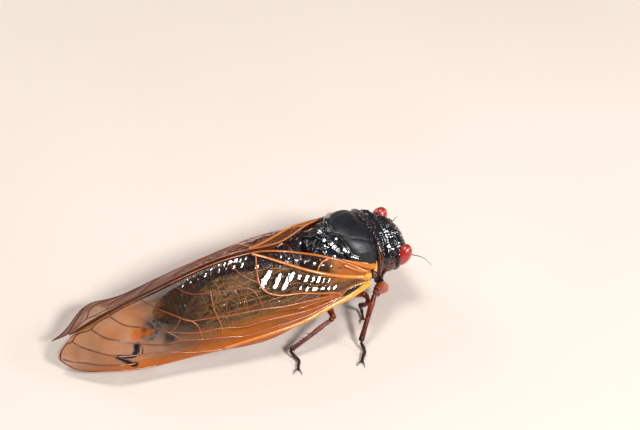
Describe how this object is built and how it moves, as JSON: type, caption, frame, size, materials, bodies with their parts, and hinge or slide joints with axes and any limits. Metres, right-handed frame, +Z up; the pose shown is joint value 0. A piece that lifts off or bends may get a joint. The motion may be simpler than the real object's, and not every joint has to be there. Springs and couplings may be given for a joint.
{
  "type": "periodical cicada model",
  "caption": "Still life-size model of a black, red-eyed periodical cicada standing with its clear, orange-veined wings folded over its back.",
  "frame": {"origin": "on the floor, under the middle of the animal's bounding box", "axes": "+X towards the head, +Y towards the animal's left side, +Z up from the floor that its feet stand on"},
  "size_m": [0.0426, 0.022, 0.0108],
  "materials": {
    "shell_black": "hard, glossy black shell",
    "leg_maroon": "glossy reddish brown shell of the legs",
    "leg_dark": "dark brown shell of the feet",
    "eye_red": "bright red, finely faceted, glossy",
    "wing_vein": "orange veins, brown towards the wing tip",
    "wing_membrane": "clear, amber-tinted, crinkled, glossy membrane"
  },
  "bodies": {
    "root": {"abdomen": "shell_black", "antenna_left": "shell_black", "antenna_right": "shell_black", "eye_left": "eye_red", "eye_right": "eye_red", "forewing_left": "wing_membrane", "forewing_right": "wing_membrane", "front_foot_left": "leg_dark", "front_foot_right": "leg_dark", "front_shin_left": "leg_maroon", "front_shin_right": "leg_maroon", "front_thigh_left": "leg_maroon", "front_thigh_right": "leg_maroon", "head": "shell_black", "hind_foot_left": "leg_dark", "hind_foot_right": "leg_dark", "hind_shin_left": "leg_maroon", "hind_shin_right": "leg_maroon", "hind_thigh_left": "leg_maroon", "hind_thigh_right": "leg_maroon", "hindwing_left": "wing_membrane", "hindwing_right": "wing_membrane", "mesonotum": "shell_black", "middle_foot_left": "leg_dark", "middle_foot_right": "leg_dark", "middle_shin_left": "leg_maroon", "middle_shin_right": "leg_maroon", "middle_thigh_left": "leg_maroon", "middle_thigh_right": "leg_maroon", "operculum_left": "shell_black", "operculum_right": "shell_black", "pronotum": "shell_black", "rostrum": "leg_maroon", "thorax_underside": "shell_black"}
  },
  "joints": []
}
